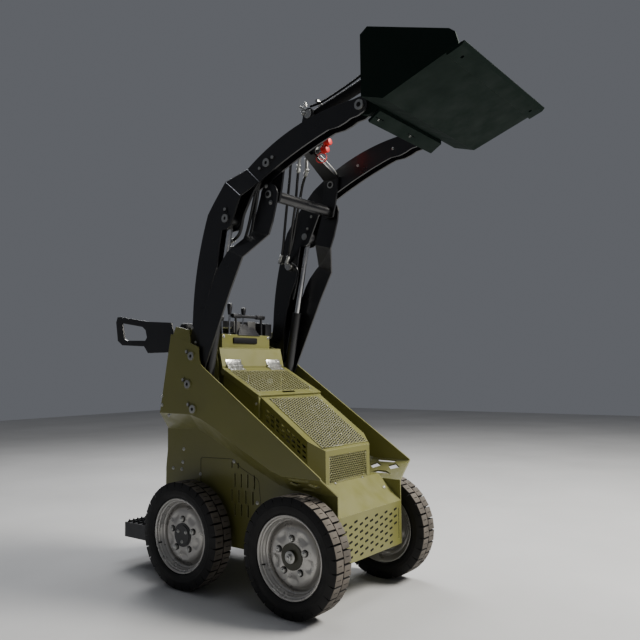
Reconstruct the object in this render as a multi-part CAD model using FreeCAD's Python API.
import FreeCAD, Part
import os
from math import radians, sin, cos, hypot

# Stand-on mini skid steer loader on four wheels, arms raised, bucket curled.
# Millimetres. +X forward, +Y to the machine's left, +Z up, ground at z = 0.
# Points are given from the middle of the wheelbase and moved to the box centre at export.

V = FreeCAD.Vector

# Overall lengths that fix the frame
LIP_X = 1325.0            # front of the bucket's cutting edge
STEP_REAR_X = -1035.0     # rear edge of the operator's platform
ORIGIN_X = (LIP_X + STEP_REAR_X) / 2

# Wheels
WHEELBASE = 750.0
AXLE_X = WHEELBASE / 2
RIM_R = 195.0             # bead seat and flange
TYRE_DEPTH = 85.0         # from the bead out to the lugs' tips
TYRE_R = RIM_R + TYRE_DEPTH
TYRE_SIDES = 28           # flats round the carcass, and lugs in each row
LUG_LENGTH = 48.0
LUG_TOP_R = TYRE_R - 1.0
LUG_ROOT_R = TYRE_R - 40.0
LUG_ROW = (4.0, 57.0)     # from the tyre's middle plane
RIM_OUT_Y = 443.0         # outer plane of the rim flange
RIM_WIDTH = 104.0
RIM_IN_Y = RIM_OUT_Y - RIM_WIDTH
TYRE_HALF_SECTION = 62.0
TYRE_MID_Y = RIM_OUT_Y - RIM_WIDTH / 2
DISC_Y = 414.0            # outer face of the wheel disc
DISC_T = 6.0
HUB_CAP_R = 62.0
NUT_CIRCLE_R = 83.0
HUB_BORE_R = 40.0
MOTOR_NOSE_R = 52.0

# Shell of the chassis
SIDE_OUT_Y = 408.0        # outer face of the tower plates
SIDE_IN_Y = 287.0         # outer face of the lower side plates
PLATE_T = 8.0
SHEET_T = 4.0
LEDGE_DROP_T = 9.0        # ledge plate measured straight down
TUB_Z = TYRE_R - 56.0
FRONT_X = 549.0
FRONT_CREASE_Z = 450.0
HOOD_FOOT_X = 411.0
HOOD_FOOT_Z = 578.0
LEDGE_Z = 2 * TYRE_R + 90.0   # outer edge of the ledge over the front tyre
LEDGE_IN_Z = LEDGE_Z - 94.0

TOWER_TOP = [(-484.0, 1350.0), (-268.0, 1273.0), (-262.0, 1206.0), (-250.0, 1180.0),
             (-228.0, 1162.0), (537.0, LEDGE_Z)]
CREASE_UP = [(-574.0, 927.0), (-330.0, 923.0), (-253.0, 904.0), (-141.0, 856.0),
             (37.0, 764.0), (235.0, 672.0), (310.0, LEDGE_Z), (537.0, LEDGE_Z)]
CREASE_LOW = [(-650.0, 822.0), (-400.0, 830.0), (-305.0, 792.0), (-175.0, 730.0),
              (-20.0, 661.0), (175.0, 580.0), (262.0, LEDGE_IN_Z + 2), (547.0, LEDGE_IN_Z - 2)]
REAR_EDGE = [(-650.0, 700.0), (-664.0, 600.0), (-666.0, 480.0), (-640.0, 360.0),
             (-600.0, 300.0)]

# Layers of the arms, measured from the middle plane
TOWER_INNER_Y = (256.0, 266.0)
LINK_OUTER_Y = (378.0, 388.0)
POST_OUTER_Y = (362.0, 372.0)
POST_INNER_Y = (290.0, 300.0)
BOOM_OUTER_Y = (310.0, 320.0)
BOOM_INNER_Y = (248.0, 258.0)
LINK_TOP_Y = (263.0, 274.0)
COUPLER_Y = (230.0, 242.0)
CYL_Y = 331.0

# Pivots of the lift linkage, as a true parallelogram
PIVOT_ARM = (-318.0, 1226.0)
SIDE_OFFSET = (-28.0, -150.0)
PIVOT_LINK = (PIVOT_ARM[0] + SIDE_OFFSET[0], PIVOT_ARM[1] + SIDE_OFFSET[1])
KNEE = (150.0, 2207.0)
KNEE_LOW = (KNEE[0] + SIDE_OFFSET[0], KNEE[1] + SIDE_OFFSET[1])
LIFT_BASE = (-306.0, 944.0)
LIFT_TOP = (-95.0, 1945.0)
NOSE = (727.0, 2369.0)
TILT_OFFSET = (60.0, 322.0)
TILT_REAR = (KNEE[0] + TILT_OFFSET[0], KNEE[1] + TILT_OFFSET[1])
TILT_FRONT = (NOSE[0] + TILT_OFFSET[0], NOSE[1] + TILT_OFFSET[1])
PIN_R = 20.0
PIN_FIT = 0.1             # play of a moving plate round its pin, on the radius
PIN_END_R = 22.0
PIN_CENTRE_R = 9.5        # centre hole in a pin's end
PIN_HEAD_R = 27.0
FLAG_HALF = 13.0          # half width of a keeper plate
FLAG_T = 4.0
BOLT_R = 9.0
BOLT_T = 5.0

# Lift cylinders, one per side
LIFT_BARREL_R = 28.0
LIFT_ROD_R = 17.0
LIFT_EYE_R = 36.0
LIFT_EYE_HALF = 22.0
LIFT_BARREL_LEN = 560.0   # base pin to the gland's end

# Tilt cylinder
TILT_BARREL_R = 29.0
TILT_ROD_R = 15.0
TILT_EYE_R = 32.0
TILT_EYE_HALF = 29.0
TILT_BARREL_LEN = 450.0
TILT_FORK_Y = (35.0, 47.0)
TILT_PIN_R = 18.0

LINK_HEAD_R = 56.0
LINK_BOLT_T = 3.0

# Auxiliary couplers on the arch
AUX_X = 152.0
AUX_Y = 78.0
AUX_Z = (2392.0, 2432.0)

# Bucket and its carrier
BUCKET_HALF = 457.0
BUCKET_SIDE_T = 8.0
BUCKET_SHELL = [(826.0, 2620.0), (826.0, 2340.0), (939.0, 2305.0), (1310.0, 2440.0)]
BUCKET_SIDE = [(826.0, 2620.0), (826.0, 2340.0), (939.0, 2305.0), (1296.0, 2435.0),
               (1296.0, 2447.0), (1283.0, 2492.0), (1257.0, 2513.0), (864.0, 2646.0)]
BUCKET_T = 6.0
EDGE_T = 12.0
EDGE_BOLT_R = 8.5
EDGE_BOLT_Y = BUCKET_HALF - 76.0
EDGE_BOLT_BACK = 40.0      # hole centre behind the floor's front edge
ATTACH_X = 826.0          # front face of the carrier's plate
ATTACH_T = 12.0
ATTACH_HALF = 300.0

# Hood, lid and console
HOOD_HALF = 250.0
HOOD_FRONT_HALF = 195.0
HOOD_CHAMFER_X = 340.0
HOOD_BROW = (HOOD_FOOT_X, 745.0)   # front end of the sloped top
HOOD_CREST = (34.0, 1007.0)
LID_FRONT = (34.0, 1011.0)
LID_HINGE = (-237.0, 1158.0)
LID_HALF = 266.0
LID_T = 26.0
LID_HINGE_Y = 150.0
LID_BARREL = (-232.6, 1170.4)   # axis of the lid's butt hinges
CONSOLE_X = -300.0
CONSOLE_HALF = 198.0
CONSOLE_TOP = 1351.0


def at(p, y):
    return V(p[0], y, p[1])


def plate_xz(points, y0, y1):
    wire = Part.makePolygon([V(x, y0, z) for x, z in points] + [V(points[0][0], y0, points[0][1])])
    return Part.Face(wire).extrude(V(0, y1 - y0, 0))


def plate_yz(points, x0, x1):
    wire = Part.makePolygon([V(x0, y, z) for y, z in points] + [V(x0, points[0][0], points[0][1])])
    return Part.Face(wire).extrude(V(x1 - x0, 0, 0))


def plate_xy(points, z0, z1):
    wire = Part.makePolygon([V(x, y, z0) for x, y in points] + [V(points[0][0], points[0][1], z0)])
    return Part.Face(wire).extrude(V(0, 0, z1 - z0))


def box(x0, x1, y0, y1, z0, z1):
    return Part.makeBox(x1 - x0, y1 - y0, z1 - z0, V(x0, y0, z0))


def pin_y(p, r, y0, y1):
    return Part.makeCylinder(r, y1 - y0, V(p[0], y0, p[1]), V(0, 1, 0))


def rod(a, b, r):
    d = b.sub(a)
    return Part.makeCylinder(r, d.Length, a, d)


def join(shapes):
    shapes = list(shapes)
    first = shapes[0]
    if len(shapes) > 1:
        first = first.multiFuse(shapes[1:])
    return first.removeSplitter()


def other_side(shape):
    return shape.mirror(V(0, 0, 0), V(0, 1, 0))


def both_sides(shape):
    return Part.makeCompound([shape, other_side(shape)])


def save(name, shape):
    moved = shape.copy()
    moved.translate(V(-ORIGIN_X, 0, 0))
    moved.exportStep("parts/" + name + ".step")


def slope_sheet(edge_a, ya, edge_b, yb, drop):
    """Ruled sheet between two edge lines at two widths, its thickness straight down."""
    pieces = []
    for i in range(len(edge_a) - 1):
        a0 = at(edge_a[i], ya)
        a1 = at(edge_a[i + 1], ya)
        b0 = at(edge_b[i], yb)
        b1 = at(edge_b[i + 1], yb)
        for tri in ((a0, a1, b1), (a0, b1, b0)):
            face = Part.Face(Part.makePolygon([tri[0], tri[1], tri[2], tri[0]]))
            pieces.append(face.extrude(V(0, 0, -drop)))
    return pieces


def twist_plate(edge_a, ya, edge_b, yb, t):
    """Sheet from one edge line to another at two widths, t thick across the machine."""
    a0, a1 = at(edge_a[0], ya), at(edge_a[1], ya)
    b0, b1 = at(edge_b[0], yb), at(edge_b[1], yb)
    pieces = []
    for tri in ((a0, a1, b1), (a0, b1, b0)):
        face = Part.Face(Part.makePolygon([tri[0], tri[1], tri[2], tri[0]]))
        pieces.append(face.extrude(V(0, -t, 0)))
    return pieces


def along(p, q, s, n):
    """Point s along the line p to q and n to its front side."""
    d = hypot(q[0] - p[0], q[1] - p[1])
    ux = (q[0] - p[0]) / d
    uz = (q[1] - p[1]) / d
    return (p[0] + s * ux + n * uz, p[1] + s * uz - n * ux)


def curved_plate(start, steps, y0, y1):
    """Plate whose outline runs through points, or through arcs given as (middle, end)."""
    edges = []
    here = start
    for step in steps + [start]:
        if isinstance(step[0], tuple):
            mid, end = step
            edges.append(Part.Arc(at(here, y0), at(mid, y0), at(end, y0)).toShape())
        else:
            end = step
            edges.append(Part.makeLine(at(here, y0), at(end, y0)))
        here = end
    return Part.Face(Part.Wire(edges)).extrude(V(0, y1 - y0, 0))


def on_circle(c, r, angle):
    return (c[0] + r * cos(radians(angle)), c[1] + r * sin(radians(angle)))


def hex_head(p, r, y0, y1):
    return plate_xz([on_circle(p, r, 60 * i) for i in range(6)], y0, y1)


def flag(p, y, bolts, bolt_t):
    """Keeper plate round a pin on the face at y, with its bolts at offsets from the pin."""
    out = [pin_y(p, PIN_HEAD_R, y, y + FLAG_T)]
    for dx, dz in bolts:
        end = (p[0] + dx, p[1] + dz)
        far = hypot(dx, dz)
        out.append(plate_xz([along(p, end, 0, -FLAG_HALF), along(p, end, far, -FLAG_HALF),
                             along(p, end, far, FLAG_HALF), along(p, end, 0, FLAG_HALF)], y, y + FLAG_T))
        out.append(pin_y(end, FLAG_HALF, y, y + FLAG_T))
        out.append(hex_head(end, BOLT_R, y + FLAG_T, y + FLAG_T + bolt_t))
    return out


def headed_pin(p, y0, y1, bolts):
    """Pin from y0 to the face at y1, with its flag and its hollow end outside."""
    tip = y1 + FLAG_T + BOLT_T
    whole = join([pin_y(p, PIN_R, y0, y1 + 1), pin_y(p, PIN_END_R, y1 + 1, tip)] + flag(p, y1, bolts, BOLT_T))
    return whole.cut(pin_y(p, PIN_CENTRE_R, y1 + FLAG_T, tip + 1))


def slotted(outline, slots, place, push):
    """Panel with slots: outlines in the panel's own plane, set in space by place."""
    wires = [Part.makePolygon([place(a, b) for a, b in ring + [ring[0]]]) for ring in [outline] + slots]
    return Part.makeFace(wires, "Part::FaceMakerBullseye").extrude(push)


def slot_field(table):
    """Leaning slots from rows of (first a, b, pitch, count, length along a, width along b, lean)."""
    out = []
    for a0, b, pitch, count, length, width, lean in table:
        for i in range(count):
            a = a0 + i * pitch
            out.append([(a - length / 2, b - width / 2 - lean), (a + length / 2, b - width / 2 + lean),
                        (a + length / 2, b + width / 2 + lean), (a - length / 2, b + width / 2 - lean)])
    return out


# Chassis
# Openings in the ledge over the front tyre, in plan
LEDGE_HOLES = [[(330.0, 397.0), (468.0, 397.0), (448.0, 380.0), (356.0, 380.0)],
               [(310.0, 352.0), (345.0, 374.0), (386.0, 357.0), (342.0, 334.0)],
               [(424.0, 360.0), (464.0, 376.0), (503.0, 354.0), (456.0, 337.0)],
               [(345.0, 309.0), (380.0, 325.0), (434.0, 325.0), (474.0, 309.0)]]
# Vertical slots in the lower side plate: first x, middle z, pitch, count, width, height, lean
SIDE_SLOTS = [(-139.0, 648.0, 45.0, 2, 9.0, 30.0, 0.0), (-117.0, 572.0, 46.0, 4, 9.0, 70.0, 0.0),
              (-140.0, 490.0, 50.0, 4, 9.0, 66.0, 0.0), (-118.0, 420.0, 47.0, 3, 9.0, 62.0, 0.0)]
# Slanted slots in the front plate: first y, z, pitch, count, length, height, lean
FRONT_SLOTS = [(-142.0, 412.0 - 36.0 * i, 91.0, 4, 28.0, 6.0, 3.0) for i in range(5)]
FRONT_SLOTS += [(-233.0, 412.0 - 36.0 * i, 455.0, 2, 28.0, 6.0, 3.0) for i in range(3)]
FRONT_SLOTS += [(-187.0, 394.0 - 36.0 * i, 91.0, 5, 28.0, 6.0, 3.0) for i in range(5)]
# Tower cap, leaning in from the tower's top edge
CAP_LOW = [(-466.0, 1343.6), (-330.0, 1295.1)]
CAP_TOP = [(-466.0, 1391.0), (-361.0, 1369.0)]
CAP_TOP_Y = 388.0


def side_shell():
    """Left side: tower plate, sloped ledge and lower side plate in one."""
    low_edge = [(x, z - LEDGE_DROP_T) for x, z in CREASE_UP]
    tower = plate_xz(low_edge + TOWER_TOP[::-1], SIDE_OUT_Y - PLATE_T, SIDE_OUT_Y)
    low_outline = CREASE_LOW + [(547.0, TUB_Z)] + [(-600.0, TUB_Z)] + REAR_EDGE[::-1]
    low = plate_xz(low_outline, SIDE_IN_Y - PLATE_T, SIDE_IN_Y)
    ledge = slope_sheet(CREASE_UP, SIDE_OUT_Y, CREASE_LOW, SIDE_IN_Y - PLATE_T, LEDGE_DROP_T)
    cap = twist_plate(CAP_LOW, SIDE_OUT_Y, CAP_TOP, CAP_TOP_Y, PLATE_T)
    whole = join([tower, low] + ledge + cap)
    holes = [plate_xy(h, LEDGE_IN_Z - 30, LEDGE_Z + 10) for h in LEDGE_HOLES]
    holes += [plate_xz(h, SIDE_IN_Y - PLATE_T - 5, SIDE_IN_Y + 5) for h in slot_field(SIDE_SLOTS)]
    whole = whole.cut(Part.makeCompound(holes))
    whole = drill(whole, [(p, PIN_R) for p in (PIVOT_ARM, PIVOT_LINK, LIFT_BASE)])
    return drill(whole, [((AXLE_X, TYRE_R), MOTOR_NOSE_R), ((-AXLE_X, TYRE_R), MOTOR_NOSE_R)])


def tower_inner():
    outline = [(-560.0, 840.0), (-484.0, 1338.0), (-286.0, 1268.0), (-266.0, 1200.0),
               (-262.0, 1100.0), (-262.0, 800.0), (-420.0, 800.0)]
    plate = plate_xz(outline, TOWER_INNER_Y[0], TOWER_INNER_Y[1])
    foot = box(-420, -262, TOWER_INNER_Y[1], SIDE_IN_Y - PLATE_T, 800, 812)
    whole = join([plate, foot])
    return drill(whole, [(p, PIN_R) for p in (PIVOT_ARM, PIVOT_LINK, LIFT_BASE)])


def tower_pins():
    """Three pins a side, each kept by a flag bolted outside the tower plate."""
    return Part.makeCompound([headed_pin(p, TOWER_INNER_Y[0] - 6, SIDE_OUT_Y, [(-34.0, 24.0)])
                              for p in (PIVOT_ARM, PIVOT_LINK, LIFT_BASE)])


def tub():
    """Front plates, floor and rear wall between the side plates."""
    w = SIDE_IN_Y - PLATE_T
    slope = [(HOOD_FOOT_X - 40, HOOD_FOOT_Z), (HOOD_FOOT_X, HOOD_FOOT_Z), (FRONT_X, FRONT_CREASE_Z),
             (FRONT_X, TUB_Z), (FRONT_X - 6, TUB_Z), (FRONT_X - 6, FRONT_CREASE_Z - 3),
             (HOOD_FOOT_X - 3, HOOD_FOOT_Z - 6), (HOOD_FOOT_X - 40, HOOD_FOOT_Z - 6)]
    front = plate_xz(slope, -w, w)
    slots = [plate_yz(h, FRONT_X - 20, FRONT_X + 5) for h in slot_field(FRONT_SLOTS)]
    slots += [box(FRONT_X - 20, FRONT_X + 5, y - 3, y + 3, 256, 412) for y in (-255, 255)]
    front = front.cut(Part.makeCompound(slots))
    floor = box(-600, FRONT_X - 6, -w, w, TUB_Z, TUB_Z + 8)
    rear = [(-600.0, TUB_Z), (-592.0, TUB_Z), (-592.0, 303.0), (-632.0, 362.0), (-658.0, 481.0),
            (-656.0, 599.0), (-642.0, 700.0), (-642.0, 840.0), (-566.0, 930.0), (-500.0, 1250.0),
            (-508.0, 1250.0), (-574.0, 930.0), (-650.0, 843.0), (-650.0, 700.0), (-664.0, 600.0),
            (-666.0, 480.0), (-640.0, 360.0), (-600.0, 300.0)]
    back = plate_xz(rear, -w, w)
    upper = box(-700, -480, -300, 300, 845, 1300)
    trim = upper.cut(box(-700, -480, -TOWER_INNER_Y[0], TOWER_INNER_Y[0], 800, 1400))
    return join([front, floor, back.cut(trim)])


def drive_motors():
    """Wheel motors bolted through the side plates, with their stub shafts."""
    out = []
    for x in (AXLE_X, -AXLE_X):
        body = box(x - 58, x + 58, 150, SIDE_IN_Y - PLATE_T, TYRE_R - 46, TYRE_R + 58)
        flange = pin_y((x, TYRE_R), 78, SIDE_IN_Y, SIDE_IN_Y + 14)
        nose = pin_y((x, TYRE_R), MOTOR_NOSE_R, SIDE_IN_Y - PLATE_T, DISC_Y - DISC_T - 22)
        shaft = pin_y((x, TYRE_R), 24, SIDE_IN_Y, DISC_Y + 6)
        out.append(join([body, flange, nose, shaft]))
    return out


def engine_block():
    return box(-190, 240, -185, 185, TUB_Z + 106, TUB_Z + 536)


def engine_feet():
    out = []
    for x in (-150, 160):
        for y in (-150, 110):
            out.append(box(x, x + 40, y, y + 40, TUB_Z + 8, TUB_Z + 106))
    return Part.makeCompound(out)


# Grille openings of the hood: half width and height range in front, half width and run on the slope
GRILLE_HALF = 165.0
GRILLE_Z = (584.0, 715.0)
TOP_GRILLE_HALF = 175.0
TOP_GRILLE = (45.0, 415.0)


def hood_outline(inset):
    top = 4 if inset else 0
    return [(HOOD_FOOT_X - inset, HOOD_FOOT_Z - top), (HOOD_FOOT_X - inset, HOOD_BROW[1] - inset),
            (HOOD_CREST[0], HOOD_CREST[1] - inset * 1.2), (-237.0 + inset, 1154.0 - inset * 1.2),
            (-237.0 + inset, 860.0), (120.0, 640.0), (340.0, HOOD_FOOT_Z - top)]


def hood_plan(inset):
    h = HOOD_HALF - inset
    f = HOOD_FRONT_HALF - inset
    return [(-260, -h), (HOOD_CHAMFER_X, -h), (HOOD_FOOT_X - inset, -f),
            (HOOD_FOOT_X - inset, f), (HOOD_CHAMFER_X, h), (-260, h)]


def hood():
    """Radiator housing and engine side walls, open underneath and under the lid."""
    outer = plate_xz(hood_outline(0), -HOOD_HALF, HOOD_HALF).common(plate_xy(hood_plan(0), 500, 1200))
    gap = SHEET_T + 2
    inner = plate_xz(hood_outline(gap), -HOOD_HALF, HOOD_HALF).common(plate_xy(hood_plan(gap), 500, 1200))
    shell = outer.cut(inner)
    lid_gap = plate_xz([(38, 900), (38, 1300), (-300, 1300), (-231, 900)], -HOOD_HALF + gap, HOOD_HALF - gap)
    front_gap = box(HOOD_FOOT_X - 30, HOOD_FOOT_X + 20, -GRILLE_HALF, GRILLE_HALF, GRILLE_Z[0], GRILLE_Z[1])
    s0, s1 = TOP_GRILLE
    top_gap = plate_xz([along(HOOD_BROW, HOOD_CREST, s0, -30), along(HOOD_BROW, HOOD_CREST, s1, -30),
                        along(HOOD_BROW, HOOD_CREST, s1, 30), along(HOOD_BROW, HOOD_CREST, s0, 30)],
                       -TOP_GRILLE_HALF, TOP_GRILLE_HALF)
    below = plate_xz([(-300, 500), (-300, 908), (120, 650), (352, HOOD_FOOT_Z), (430, HOOD_FOOT_Z),
                      (430, 500)], -300, 300)
    vents = []
    for drop in (34.0, 60.0, 86.0):
        for x in range(70, 310, 34):
            top = HOOD_BROW[1] + (HOOD_FOOT_X - x) * 0.695 - drop
            vents.append(plate_xz([(x, top), (x + 22, top - 15), (x + 22, top - 27), (x, top - 12)],
                                  -HOOD_HALF - 5, HOOD_HALF + 5))
    return shell.cut(lid_gap).cut(front_gap).cut(top_gap).cut(below).cut(Part.makeCompound(vents))


def radiator_grilles():
    """Front and top panels of slots in the hood's openings."""
    h = GRILLE_HALF
    z0, z1 = GRILLE_Z
    rows = [(-132.0 + 12.0 * (i % 2), z0 + 12.0 + 12.0 * i, 84.0, 4, 58.0, 5.0, 0.0) for i in range(10)]
    x = HOOD_FOOT_X - SHEET_T - 1
    front = slotted([(-h, z0), (h, z0), (h, z1), (-h, z1)], slot_field(rows),
                    lambda y, z: V(x, y, z), V(SHEET_T, 0, 0))
    s0, s1 = TOP_GRILLE
    t = TOP_GRILLE_HALF
    base = along(HOOD_BROW, HOOD_CREST, 0, 0)
    inward = along(HOOD_BROW, HOOD_CREST, 0, -SHEET_T)
    rows = [(-152.0 + 12.0 * (i % 2), s0 + 36.0 + 50.0 * i, 24.0, 13, 8.0, 40.0, 3.0) for i in range(7)]
    top = slotted([(-t, s0), (t, s0), (t, s1), (-t, s1)], slot_field(rows),
                  lambda y, s: at(along(HOOD_BROW, HOOD_CREST, s, -1), y),
                  V(inward[0] - base[0], 0, inward[1] - base[1]))
    return Part.makeCompound([front, top])


def lid():
    """Hinged cover over the engine, a tray turned down at its edges."""
    p = LID_HINGE
    q = LID_FRONT
    length = hypot(q[0] - p[0], q[1] - p[1])
    outer = plate_xz([along(p, q, 4, -6), along(p, q, length - 1, -6),
                      along(p, q, length - 1, LID_T), along(p, q, 4, LID_T)], -LID_HALF, LID_HALF)
    inner = plate_xz([along(p, q, -9, -2), along(p, q, length + 9, -2),
                      along(p, q, length + 9, LID_T + 5), along(p, q, -9, LID_T + 5)],
                     -LID_HALF + 5, LID_HALF - 5)
    lip = plate_xz([along(p, q, length - 5, -3), along(p, q, length - 1, -3),
                    along(p, q, length - 1, 16), along(p, q, length - 5, 16)], -238, 238)
    knuckles = []
    for y in (-LID_HINGE_Y, LID_HINGE_Y):
        for y0 in (y - 60, y + 45.1):
            knuckles.append(pin_y(LID_BARREL, 6, y0, y0 + 14.9))
            leaf = plate_xz([along(p, q, -2, -14), along(p, q, 34, -8), along(p, q, 34, -5),
                             along(p, q, 4, -5)], y0, y0 + 14.9)
            knuckles.append(leaf)
    tray = outer.cut(inner)
    window = plate_xz([along(p, q, 48, -20), along(p, q, 262, -20), along(p, q, 262, 10), along(p, q, 48, 10)],
                      -210, 210)
    base = along(p, q, 0, 0)
    inward = along(p, q, 0, SHEET_T)
    louvres = slotted([(-211, 47), (211, 47), (211, 263), (-211, 263)],
                      slot_field([(-190.0, 104.0, 24.0, 17, 8.0, 88.0, 3.0), (-190.0, 206.0, 24.0, 17, 8.0, 88.0, 3.0)]),
                      lambda y, s: at(along(p, q, s, -6), y), V(inward[0] - base[0], 0, inward[1] - base[1]))
    handle = plate_xz([along(p, q, 276, -20), along(p, q, 287, -20), along(p, q, 287, 10), along(p, q, 276, 10)],
                      -42, 42)
    return join([tray.cut(window).cut(handle), lip, louvres] + knuckles)


def lid_hinge_leaves():
    out = []
    for y in (-LID_HINGE_Y, LID_HINGE_Y):
        out.append(pin_y(LID_BARREL, 6, y - 45, y + 45))
    return out


def hinge_panel():
    """Olive sheet behind the lid, rising to the console's foot."""
    front = [(-245.0, 1120.0), (-239.0, 1120.0), (-239.0, 1170.0), (-262.0, 1268.0),
             (-262.0, 1273.0), (-300.0, 1273.0), (-300.0, 1268.0), (-268.0, 1268.0)]
    return plate_xz(front, -TOWER_INNER_Y[0], TOWER_INNER_Y[0])


def console():
    """Control console: front box, top deck and rear wall, hollow inside."""
    w = CONSOLE_HALF
    outline = [(CONSOLE_X, 1273.0), (CONSOLE_X, CONSOLE_TOP), (-420.0, CONSOLE_TOP),
               (-440.0, 1400.0), (-560.0, 1400.0), (-560.0, 1250.0), (-480.0, 1250.0),
               (-480.0, 1273.0)]
    inner = [(CONSOLE_X - 4, 1268.0), (CONSOLE_X - 4, CONSOLE_TOP - 4), (-417.0, CONSOLE_TOP - 4),
             (-437.0, 1396.0), (-556.0, 1396.0), (-556.0, 1245.0), (-470.0, 1245.0),
             (-470.0, 1268.0)]
    return plate_xz(outline, -w, w).cut(plate_xz(inner, -w + 4, w - 4))


def dash_cowl():
    """Dark cowl each side of the levers and behind them."""
    back = box(-470, -446, -w_dash(), w_dash(), 1400, 1440)
    wing = plate_xz([(-330.0, 1351.0), (-330.0, 1425.0), (-446.0, 1440.0), (-470.0, 1440.0),
                     (-470.0, 1351.0)], CONSOLE_HALF, TOWER_INNER_Y[0] - 4)
    return join([back, wing, other_side(wing)])


def w_dash():
    return TOWER_INNER_Y[0] - 4


def levers():
    shaft = rod(V(-340, -104, CONSOLE_TOP), V(-332, -106, 1480), 6)
    knob = rod(V(-332, -106, 1478), V(-330, -106, 1532), 13)
    stick = rod(V(-350, 20, 1400), V(-346, 22, 1478), 6)
    stick_knob = rod(V(-346, 22, 1476), V(-345, 22, 1517), 13)
    boot = Part.makeCone(70, 26, 60, V(-355, 20, CONSOLE_TOP), V(0, 0, 1))
    bar = join([rod(V(-318, -88, 1460), V(-318, 160, 1460), 8),
                rod(V(-318, -70, 1462), V(-318, -70, CONSOLE_TOP), 7),
                rod(V(-318, 145, 1462), V(-318, 145, CONSOLE_TOP), 7)])
    return [join([shaft, knob]), join([boot, stick, stick_knob]), bar]


def thigh_pad():
    return plate_xz([(-560.0, 1300.0), (-560.0, 1418.0), (-600.0, 1430.0), (-628.0, 1424.0),
                     (-636.0, 1400.0), (-620.0, 1300.0)], -230, 230)


def side_guard():
    """Operator's hip guard: a plate with a finger opening, on the tower's rear edge."""
    y0 = SIDE_OUT_Y - PLATE_T - 10
    outline = [(-470.0, 1250.0), (-690.0, 1250.0), (-725.0, 1290.0), (-925.0, 1302.0),
               (-968.0, 1330.0), (-985.0, 1440.0), (-972.0, 1470.0), (-940.0, 1470.0),
               (-699.0, 1430.0), (-492.0, 1414.0), (-470.0, 1340.0)]
    plate = plate_xz(outline, y0, y0 + 10)
    hole = plate_xz([(-930.0, 1433.0), (-908.0, 1340.0), (-880.0, 1328.0), (-715.0, 1322.0),
                     (-700.0, 1340.0), (-712.0, 1382.0), (-740.0, 1402.0)], y0 - 5, y0 + 15)
    return plate.cut(hole)


def platform():
    """Step for the operator, hung from the tub's rear wall."""
    half = 290.0
    deck = box(STEP_REAR_X, -600, -half, half, 236, 244)
    lip = box(STEP_REAR_X, STEP_REAR_X + 8, -half, half, 160, 236)
    cheek = plate_xz([(STEP_REAR_X, 160), (STEP_REAR_X, 244), (-600.0, 244), (-600.0, 190),
                      (-680.0, 160)], half - 8, half)
    cheek2 = other_side(cheek)
    return join([deck, lip, cheek, cheek2])


# Wheels, drawn at the origin of their axle on the left side
def tyre():
    """Flat-sided ring with two staggered rows of narrow lugs that reach over its shoulders."""
    step = 360.0 / TYRE_SIDES
    bead_r = (RIM_R + 0.02) / cos(radians(step / 2))
    half = [(50.0, bead_r), (TYRE_HALF_SECTION, TYRE_R - 52), (TYRE_HALF_SECTION - 4, TYRE_R - 28),
            (46.0, TYRE_R - 15)]
    profile = [(-y, r) for y, r in half] + half[::-1]

    def ring_point(j, i):
        y, r = profile[j % len(profile)]
        a = radians(step * i)
        return V(r * sin(a), TYRE_MID_Y + y, r * cos(a))

    faces = []
    for i in range(TYRE_SIDES):
        for j in range(len(profile)):
            quad = [ring_point(j, i), ring_point(j + 1, i), ring_point(j + 1, i + 1), ring_point(j, i + 1)]
            faces.append(Part.Face(Part.makePolygon(quad + [quad[0]])))
    carcass = Part.Solid(Part.Shell(faces))
    lugs = []
    for i in range(TYRE_SIDES):
        for y0, shift in ((TYRE_MID_Y + LUG_ROW[0], 0.5), (TYRE_MID_Y - LUG_ROW[1], 1.0)):
            lug = Part.makeBox(LUG_LENGTH, LUG_ROW[1] - LUG_ROW[0], LUG_TOP_R - LUG_ROOT_R,
                               V(-LUG_LENGTH / 2, y0, LUG_ROOT_R))
            lug.rotate(V(0, 0, 0), V(0, 1, 0), step * (i + shift))
            lugs.append(lug)
    whole = carcass.multiFuse(lugs)
    whole.translate(V(0, 0, TYRE_R))
    return whole


def rim(x):
    """Pressed steel rim with a dished disc and five nuts."""
    y0 = RIM_IN_Y
    y1 = RIM_OUT_Y
    prof = [(y0, RIM_R), (y0, RIM_R - 6), (y0 + 20, RIM_R - 18), (y0 + 34, RIM_R - 27), (y0 + 62, RIM_R - 27),
            (y0 + 76, RIM_R - 17), (y1 - 8, RIM_R - 12), (y1, RIM_R - 5), (y1, RIM_R), (y1 - 8, RIM_R),
            (y1 - 14, RIM_R - 7), (y0 + 74, RIM_R - 12), (y0 + 60, RIM_R - 22), (y0 + 36, RIM_R - 22),
            (y0 + 22, RIM_R - 13), (y0 + 8, RIM_R)]
    band = Part.Face(Part.makePolygon([V(0, a, b) for a, b in prof + [prof[0]]]))
    band = band.revolve(V(0, 0, 0), V(0, 1, 0), 360)
    disc_prof = [(DISC_Y - DISC_T, HUB_BORE_R), (DISC_Y, HUB_BORE_R), (DISC_Y, 104), (DISC_Y - 22, 132),
                 (DISC_Y - 30, RIM_R - 26), (DISC_Y - 38, RIM_R - 26), (DISC_Y - 28, 128), (DISC_Y - DISC_T, 101)]
    disc = Part.Face(Part.makePolygon([V(0, a, b) for a, b in disc_prof + [disc_prof[0]]]))
    disc = disc.revolve(V(0, 0, 0), V(0, 1, 0), 360)
    nuts = [hex_head(on_circle((0, 0), NUT_CIRCLE_R, 90 + 72 * i), 12, DISC_Y - 1, DISC_Y + 16) for i in range(5)]
    whole = join([band, disc] + nuts)
    whole.translate(V(x, 0, TYRE_R))
    return whole


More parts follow.
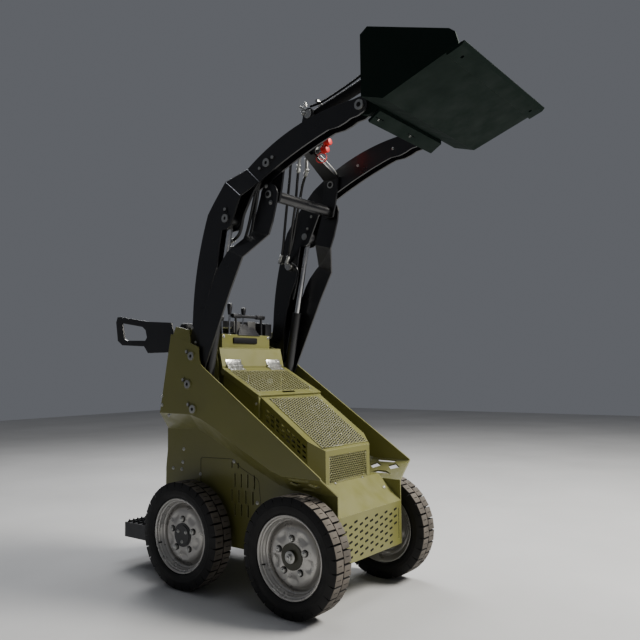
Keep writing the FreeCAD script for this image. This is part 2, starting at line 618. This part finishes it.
def hub(x, front):
    """Hub disc over the bore; the front one carries a round nut."""
    flange = pin_y((0, 0), HUB_CAP_R, DISC_Y, DISC_Y + 7)
    parts = [flange, pin_y((0, 0), HUB_BORE_R - 0.5, DISC_Y - DISC_T - 20, DISC_Y)]
    if front:
        parts.append(pin_y((0, 0), 31, DISC_Y + 7, DISC_Y + 18))
    else:
        parts.append(pin_y((0, 0), 52, DISC_Y + 7, DISC_Y + 10))
    whole = join(parts)
    bore = pin_y((0, 0), 24.5, DISC_Y - DISC_T - 25, DISC_Y + 6.5)
    whole = whole.cut(bore)
    whole.translate(V(x, 0, TYRE_R))
    return whole


# Lift linkage
POST_TOP = (-96.0, 2139.0)
POST_FRONT_TOP = (10.0, 2050.0)
BOOM_TOP_START = (12.0, 2197.0)
BOOM_LOW_START = (96.0, 2119.0)
POST_FOOT_R = 54.0
BOOM_NOSE_R = 40.0
WEB_T = 8.0


def post_plate(y0, y1, dx=0.0, dz=0.0):
    foot = [on_circle(PIVOT_ARM, POST_FOOT_R, a) for a in (-20, -110, 160)]
    steps = [(-385.0, 1335.0), (-359.0, 1345.0), (-347.0, 1422.0), ((-314.0, 1693.0), (-228.0, 1983.0)),
             (-182.0, 2041.0), POST_TOP, POST_FRONT_TOP, (-63.0, 1900.0), (-84.0, 1889.0), (-129.0, 1886.0),
             (-145.0, 1810.0), (-163.0, 1690.0), ((-232.0, 1524.0), (-264.0, 1300.0)), foot[0],
             (foot[1], foot[2])]
    plate = curved_plate((-399.0, 1300.0), steps, y0, y1)
    plate.translate(V(dx, 0, dz))
    return plate


def boom_plate(y0, y1, dx=0.0, dz=0.0):
    nose = [on_circle(NOSE, BOOM_NOSE_R, a) for a in (95, 7.5, -80)]
    steps = [((372.0, 2362.0), (690.0, 2404.0)), nose[0], (nose[1], nose[2]), (716.0, 2322.0), (674.0, 2318.0),
             (640.0, 2304.0), (600.0, 2294.0), (544.0, 2293.0), ((319.0, 2218.0), BOOM_LOW_START)]
    plate = curved_plate(BOOM_TOP_START, steps, y0, y1)
    plate.translate(V(dx, 0, dz))
    return plate


def strip(edge, y0, y1, t):
    """Web that follows an edge line between two widths, mitred, t thick on its front side."""
    normals = []
    for i in range(len(edge) - 1):
        dx = edge[i + 1][0] - edge[i][0]
        dz = edge[i + 1][1] - edge[i][1]
        length = hypot(dx, dz)
        normals.append((dz / length, -dx / length))
    offset = []
    for i, (x, z) in enumerate(edge):
        a = normals[max(i - 1, 0)]
        b = normals[min(i, len(normals) - 1)]
        k = t / (1 + a[0] * b[0] + a[1] * b[1])
        offset.append((x + k * (a[0] + b[0]), z + k * (a[1] + b[1])))
    return plate_xz(edge + offset[::-1], y0, y1)


def lift_arm():
    """Left arm: two post plates, knee plates and two boom plates with webs."""
    outer = post_plate(POST_OUTER_Y[0], POST_OUTER_Y[1])
    inner = post_plate(POST_INNER_Y[0], POST_INNER_Y[1])
    foot = pin_y(PIVOT_ARM, 34, POST_INNER_Y[0], POST_OUTER_Y[1])
    head = pin_y(LIFT_TOP, 40, CYL_Y + LIFT_EYE_HALF + 4, POST_OUTER_Y[1])
    head2 = pin_y(LIFT_TOP, 40, POST_INNER_Y[0], CYL_Y - LIFT_EYE_HALF - 4)
    web_y = (POST_INNER_Y[1] - 1, POST_OUTER_Y[0] + 1)
    rear_web = post_plate(*web_y).cut(post_plate(*web_y, dx=WEB_T, dz=-2.0))
    rear_web = rear_web.common(plate_xz([(-400, 1400), (-100, 1400), (-30, 2200), (-400, 2200)], 200, 400))
    boom_o = boom_plate(BOOM_OUTER_Y[0], BOOM_OUTER_Y[1])
    boom_i = boom_plate(BOOM_INNER_Y[0], BOOM_INNER_Y[1])
    web_y = (BOOM_INNER_Y[1] - 1, BOOM_OUTER_Y[0] + 1)
    top_web = boom_plate(*web_y).cut(boom_plate(*web_y, dx=2.0, dz=-WEB_T))
    top_web = top_web.common(box(0, 650, 200, 400, 2150, 2450))
    post_end = [POST_TOP, POST_FRONT_TOP]
    boom_end = [BOOM_TOP_START, BOOM_LOW_START]
    knee_o = twist_plate(post_end, POST_OUTER_Y[1], boom_end, BOOM_OUTER_Y[1], 10)
    knee_i = twist_plate(post_end, POST_INNER_Y[1], boom_end, BOOM_INNER_Y[1], 10)
    low = (POST_TOP[0] - 2.6, POST_TOP[1] - 3.4)
    high = (BOOM_TOP_START[0] + 5.3, BOOM_TOP_START[1] + 0.8)
    crown = [at(low, POST_INNER_Y[0] + 1), at(low, POST_OUTER_Y[1] - 1),
             at(high, BOOM_OUTER_Y[1] - 1), at(high, BOOM_INNER_Y[0] + 1)]
    crown = Part.Face(Part.makePolygon(crown + [crown[0]])).extrude(V(3.8, 0, -7.1))
    return [outer, inner, foot, head, head2, boom_o, boom_i, rear_web, top_web, crown] + knee_o + knee_i


def drill(shape, holes):
    for p, r in holes:
        shape = shape.cut(pin_y(p, r, -700, 700))
    return shape


def lift_arm_left():
    whole = join(lift_arm())
    return drill(whole, [(PIVOT_ARM, PIN_R + PIN_FIT), (KNEE, PIN_R), (NOSE, PIN_R), (LIFT_TOP, PIN_R)])


def arm_pins():
    """Knee pins, nose pins and the lift cylinders' upper stubs, fixed in the arms."""
    knee_pin = headed_pin(KNEE, COUPLER_Y[0] - 4, BOOM_OUTER_Y[1], [(-45.0, -21.0), (42.0, 20.0)])
    stub = headed_pin(LIFT_TOP, CYL_Y + LIFT_EYE_HALF + 4, POST_OUTER_Y[1], [(0.0, 48.0)])
    stub_in = pin_y(LIFT_TOP, PIN_R, POST_INNER_Y[0], CYL_Y - LIFT_EYE_HALF - 4)
    return [knee_pin, stub, stub_in]


def level_link():
    """Left levelling link: one plate, bent inward above the post's knee to the coupler."""
    p = PIVOT_LINK
    q = KNEE_LOW
    low_fold = [(-55.0, 1770.0), (38.0, 1724.0)]
    high_fold = [(9.0, 1879.0), (118.6, 1847.6)]
    front = [along(p, q, s, n) for s, n in ((566, 59), (100, 58), (0, 52), (-34, 44), (-44, 14), (-30, -22))]
    back = [along(p, q, s, n) for s, n in ((0, -30), (60, -14), (170, -14), (240, -36), (289, -58), (380, -70),
                                           (455, -76), (600, -78), (659, -70), (726, -48))]
    lower = plate_xz([low_fold[0], low_fold[1]] + front + back, LINK_OUTER_Y[0], LINK_OUTER_Y[1])
    head = [on_circle(q, LINK_HEAD_R, a) for a in (178, 90, 0)]
    upper = curved_plate(high_fold[0], [(31.0, 1961.0), head[0], (head[1], head[2]), (171.0, 2003.0),
                                        (143.0, 1908.0), high_fold[1]], LINK_TOP_Y[0], LINK_TOP_Y[1])
    bend = twist_plate(low_fold, LINK_OUTER_Y[1], high_fold, LINK_TOP_Y[1], 10)
    foot_eye = pin_y(p, 40, LINK_OUTER_Y[0] - 12, LINK_OUTER_Y[1] + 8)
    whole = join([lower, upper, foot_eye] + bend
                 + flag(q, LINK_TOP_Y[1], [(-15.0, 46.0), (15.0, -46.0)], LINK_BOLT_T))
    return drill(whole, [(p, PIN_R + PIN_FIT), (q, PIN_R + PIN_FIT)])


# Arch of the coupler: x range and height at the side plates and at the middle
ARCH_FOOT = (104.0, 205.0, 2248.0)
ARCH_APEX = (120.0, 177.0, 2368.0)
ARCH_T = 14.0
ARCH_NOTCH_X = 160.0      # front of the apex under the tilt cylinder


def level_coupler():
    """Coupler: a plate each side, the cross tube and the arch that carries the tilt cylinder."""
    y0, y1 = COUPLER_Y
    side = plate_xz([(104, 2250), (205, 2250), (200, 2200), (180, 2085), (162, 2018), (98, 2015),
                     (78, 2050), (104, 2150)], y0, y1)
    side = side.fuse(pin_y(KNEE, 46, y0, y1))
    side = drill(side, [(KNEE, PIN_R + PIN_FIT)])
    tube = pin_y(KNEE_LOW, 30, -y0, y0)
    stub = pin_y(KNEE_LOW, PIN_R, y0, LINK_TOP_Y[1] + FLAG_T + LINK_BOLT_T)
    stub = stub.cut(pin_y(KNEE_LOW, PIN_CENTRE_R, LINK_TOP_Y[1] + FLAG_T - 2, LINK_TOP_Y[1] + 20))
    f0, f1, fz = ARCH_FOOT
    a0, a1, az = ARCH_APEX
    run = hypot(y0 + 6, az - fz)
    corners = [V(f0, y0 + 6, fz), V(f1, y0 + 6, fz), V(a1, 0, az), V(a0, 0, az)]
    down = V(0, -(az - fz) / run * ARCH_T, -(y0 + 6) / run * ARCH_T)
    bar = Part.Face(Part.makePolygon(corners + [corners[0]])).extrude(down)
    eye = [on_circle(TILT_REAR, 34, a) for a in (-15, 70, 155)]
    lug = curved_plate((122.0, az - 34), [(178.0, az - 34), eye[0], (eye[1], eye[2])], TILT_FORK_Y[0], TILT_FORK_Y[1])
    lug = drill(lug, [(TILT_REAR, TILT_PIN_R + PIN_FIT)])
    gap = TILT_FORK_Y[0]
    bar = bar.cut(box(ARCH_NOTCH_X, ARCH_NOTCH_X + 60, -gap, gap, az - 60, az + 10))
    half = [side, stub, bar, lug]
    return join([tube] + half + [other_side(h) for h in half])


def coupler_fittings():
    """Auxiliary hydraulic quick couplers on a bracket at the arch's left lug, with their pipe."""
    bracket = box(AUX_X, AUX_X + 8, TILT_FORK_Y[1], AUX_Y + 22, AUX_Z[0] - 24, AUX_Z[1] + 20)
    bodies = [Part.makeCylinder(13, 62, V(AUX_X - 4, AUX_Y, z), V(1, 0, 0)) for z in AUX_Z]
    collars = [Part.makeCylinder(16, 20, V(AUX_X + 14, AUX_Y, z), V(1, 0, 0)) for z in AUX_Z]
    return join([bracket] + bodies + collars)


def coupler_caps():
    return Part.makeCompound([Part.makeCylinder(18, 30, V(AUX_X + 58, AUX_Y, z), V(1, 0, 0)) for z in AUX_Z])


def tilt_rear_pin():
    body = pin_y(TILT_REAR, TILT_PIN_R, -TILT_FORK_Y[1] - 3, TILT_FORK_Y[1] + 3)
    heads = [pin_y(TILT_REAR, PIN_END_R + 2, TILT_FORK_Y[1] + 1, TILT_FORK_Y[1] + 6),
             pin_y(TILT_REAR, PIN_END_R + 2, -TILT_FORK_Y[1] - 6, -TILT_FORK_Y[1] - 1)]
    return join([body] + heads)


# Cylinders
def lift_barrel():
    d = at(LIFT_TOP, CYL_Y).sub(at(LIFT_BASE, CYL_Y)).normalize()
    base = at(LIFT_BASE, CYL_Y)
    eye = pin_y(LIFT_BASE, LIFT_EYE_R, CYL_Y - LIFT_EYE_HALF, CYL_Y + LIFT_EYE_HALF)
    tube = rod(base.add(d * 20), base.add(d * LIFT_BARREL_LEN), LIFT_BARREL_R)
    bore = rod(base.add(d * 60), base.add(d * (LIFT_BARREL_LEN + 5)), LIFT_ROD_R + PIN_FIT)
    eye_bore = pin_y(LIFT_BASE, PIN_R + PIN_FIT, CYL_Y - 60, CYL_Y + 60)
    return join([eye, tube]).cut(bore).cut(eye_bore)


def lift_rod():
    d = at(LIFT_TOP, CYL_Y).sub(at(LIFT_BASE, CYL_Y)).normalize()
    base = at(LIFT_BASE, CYL_Y)
    top = at(LIFT_TOP, CYL_Y)
    eye = pin_y(LIFT_TOP, LIFT_EYE_R, CYL_Y - LIFT_EYE_HALF, CYL_Y + LIFT_EYE_HALF)
    bar = rod(base.add(d * (LIFT_BARREL_LEN - 130)), top.sub(d * 20), LIFT_ROD_R)
    bore = pin_y(LIFT_TOP, PIN_R + PIN_FIT, CYL_Y - 60, CYL_Y + 60)
    return join([eye, bar]).cut(bore)


def tilt_barrel():
    d = at(TILT_FRONT, 0).sub(at(TILT_REAR, 0)).normalize()
    base = at(TILT_REAR, 0)
    eye = pin_y(TILT_REAR, TILT_EYE_R, -TILT_EYE_HALF, TILT_EYE_HALF)
    tube = rod(base.add(d * 18), base.add(d * TILT_BARREL_LEN), TILT_BARREL_R)
    bore = rod(base.add(d * 50), base.add(d * (TILT_BARREL_LEN + 5)), TILT_ROD_R + PIN_FIT)
    eye_bore = pin_y(TILT_REAR, TILT_PIN_R + PIN_FIT, -60, 60)
    return join([eye, tube]).cut(bore).cut(eye_bore)


def tilt_rod():
    d = at(TILT_FRONT, 0).sub(at(TILT_REAR, 0)).normalize()
    base = at(TILT_REAR, 0)
    top = at(TILT_FRONT, 0)
    eye = pin_y(TILT_FRONT, TILT_EYE_R, -TILT_EYE_HALF, TILT_EYE_HALF)
    bar = rod(base.add(d * 80), top.sub(d * 18), TILT_ROD_R)
    bore = pin_y(TILT_FRONT, TILT_PIN_R + PIN_FIT, -60, 60)
    return join([eye, bar]).cut(bore)


# Bucket end
NOSE_LUG_Y = (262.0, 306.0)


def nose_pins():
    one = join([pin_y(NOSE, PIN_R - 0.5, BOOM_INNER_Y[0] - 4, BOOM_OUTER_Y[1] + 2),
                pin_y(NOSE, PIN_END_R + 2, BOOM_OUTER_Y[1] + 1, BOOM_OUTER_Y[1] + 9)])
    one = one.cut(pin_y(NOSE, PIN_CENTRE_R, BOOM_OUTER_Y[1] + 4, BOOM_OUTER_Y[1] + 10))
    return both_sides(one)


def quick_attach():
    """Carrier plate with two lower ears and the tilt cylinder's clevis."""
    x1 = ATTACH_X
    x0 = ATTACH_X - ATTACH_T
    plate = box(x0, x1, -ATTACH_HALF, ATTACH_HALF, 2330, 2600)
    foot = plate_xz([(x0, 2342.0), (x0, 2330.0), (760.0, 2296.0), (764.0, 2284.0), (826.0, 2322.0),
                     (x1, 2342.0)], -ATTACH_HALF, ATTACH_HALF)
    ear = plate_xz([(x0 + 2, 2340.0), (x0 + 2, 2430.0), (NOSE[0] + 10, NOSE[1] + 38),
                    (NOSE[0] - 28, NOSE[1] + 26), (NOSE[0] - 38, NOSE[1]), (NOSE[0] - 26, NOSE[1] - 28),
                    (NOSE[0], NOSE[1] - 38), (760.0, 2322.0)], NOSE_LUG_Y[0], NOSE_LUG_Y[1] - 10)
    ear = drill(ear, [(NOSE, PIN_R - 0.5 + PIN_FIT)])
    clevis = []
    for y0, y1 in (TILT_FORK_Y, (-TILT_FORK_Y[1], -TILT_FORK_Y[0])):
        lug = plate_xz([(x0 + 2, 2500.0), (x0 + 2, 2640.0), (TILT_FRONT[0] + 24, TILT_FRONT[1] + 24),
                        (TILT_FRONT[0], TILT_FRONT[1] + 34), (TILT_FRONT[0] - 32, TILT_FRONT[1] + 14),
                        (TILT_FRONT[0] - 32, TILT_FRONT[1] - 20), (x0 - 30, 2520.0)], y0, y1)
        clevis.append(drill(lug, [(TILT_FRONT, TILT_PIN_R)]))
        side = 1 if y0 > 0 else -1
        head = pin_y(TILT_FRONT, PIN_END_R, y1 if side > 0 else y0 - 5, y1 + 5 if side > 0 else y0)
        stub = pin_y(TILT_FRONT, TILT_PIN_R, y0, y1)
        clevis.append(join([head, stub]))
    return join([plate, foot, ear, other_side(ear)] + clevis)


def bucket():
    """Open bucket: folded back and floor between two side plates."""
    w = BUCKET_HALF - BUCKET_SIDE_T
    sheet = strip(BUCKET_SHELL, -w - 1, w + 1, -BUCKET_T)
    side = plate_xz(BUCKET_SIDE, w, BUCKET_HALF)
    top_bar = box(826, 850, -w - 1, w + 1, 2606, 2624)
    return edge_bolt_holes(join([side, other_side(side), top_bar, sheet]))


def edge_bolt_holes(shape):
    """Two holes for a bolt-on edge, through the floor and the cutting edge."""
    a = BUCKET_SHELL[2]
    b = BUCKET_SHELL[3]
    length = hypot(b[0] - a[0], b[1] - a[1])
    for y in (-EDGE_BOLT_Y, EDGE_BOLT_Y):
        low = at(along(a, b, length - EDGE_BOLT_BACK, EDGE_T + 10), y)
        high = at(along(a, b, length - EDGE_BOLT_BACK, -BUCKET_T - 10), y)
        shape = shape.cut(rod(low, high, EDGE_BOLT_R))
    return shape


def cutting_edge():
    a = BUCKET_SHELL[2]
    b = BUCKET_SHELL[3]
    length = hypot(b[0] - a[0], b[1] - a[1])
    quad = [along(a, b, length - 74, 0.0), along(a, b, length + 10, 0.0),
            along(a, b, length + 14, 3.0), along(a, b, length - 4, EDGE_T),
            along(a, b, length - 74, EDGE_T)]
    return edge_bolt_holes(plate_xz(quad, -BUCKET_HALF, BUCKET_HALF))


def build():
    os.makedirs("parts", exist_ok=True)
    left = side_shell()
    save("side_shell_left", left)
    save("side_shell_right", other_side(left))
    save("tub", tub())
    inner = tower_inner()
    save("tower_inner_plates", both_sides(inner))
    save("tower_pins", both_sides(tower_pins()))
    motors = drive_motors()
    save("wheel_motors", Part.makeCompound(motors + [other_side(m) for m in motors]))
    save("engine_block", engine_block())
    save("engine_mounts", engine_feet())
    save("hood", hood())
    save("radiator_grilles", radiator_grilles())
    save("engine_lid", lid())
    save("lid_hinges", Part.makeCompound(lid_hinge_leaves()))
    save("hinge_panel", hinge_panel())
    save("console", console())
    save("dash_cowl", dash_cowl())
    save("control_levers", Part.makeCompound(levers()))
    save("thigh_pad", thigh_pad())
    save("side_guards", both_sides(side_guard()))
    save("operator_platform", platform())
    ring = tyre()
    for end, x in (("front", AXLE_X), ("rear", -AXLE_X)):
        t = ring.copy()
        t.translate(V(x, 0, 0))
        r = rim(x)
        h = hub(x, end == "front")
        for name, shape in (("tyre", t), ("rim", r), ("hub", h)):
            save(name + "_" + end + "_left", shape)
            save(name + "_" + end + "_right", other_side(shape))
    arm = lift_arm_left()
    save("lift_arm_left", arm)
    save("lift_arm_right", other_side(arm))
    pins = arm_pins()
    save("arm_pins", Part.makeCompound(pins + [other_side(p) for p in pins]))
    save("level_links", both_sides(level_link()))
    save("level_coupler", level_coupler())
    save("coupler_fittings", coupler_fittings())
    save("coupler_caps", coupler_caps())
    save("tilt_rear_pin", tilt_rear_pin())
    save("lift_barrels", both_sides(lift_barrel()))
    save("lift_rods", both_sides(lift_rod()))
    save("tilt_barrel", tilt_barrel())
    save("tilt_rod", tilt_rod())
    save("nose_pins", nose_pins())
    save("quick_attach", quick_attach())
    save("bucket", bucket())
    save("cutting_edge", cutting_edge())


build()
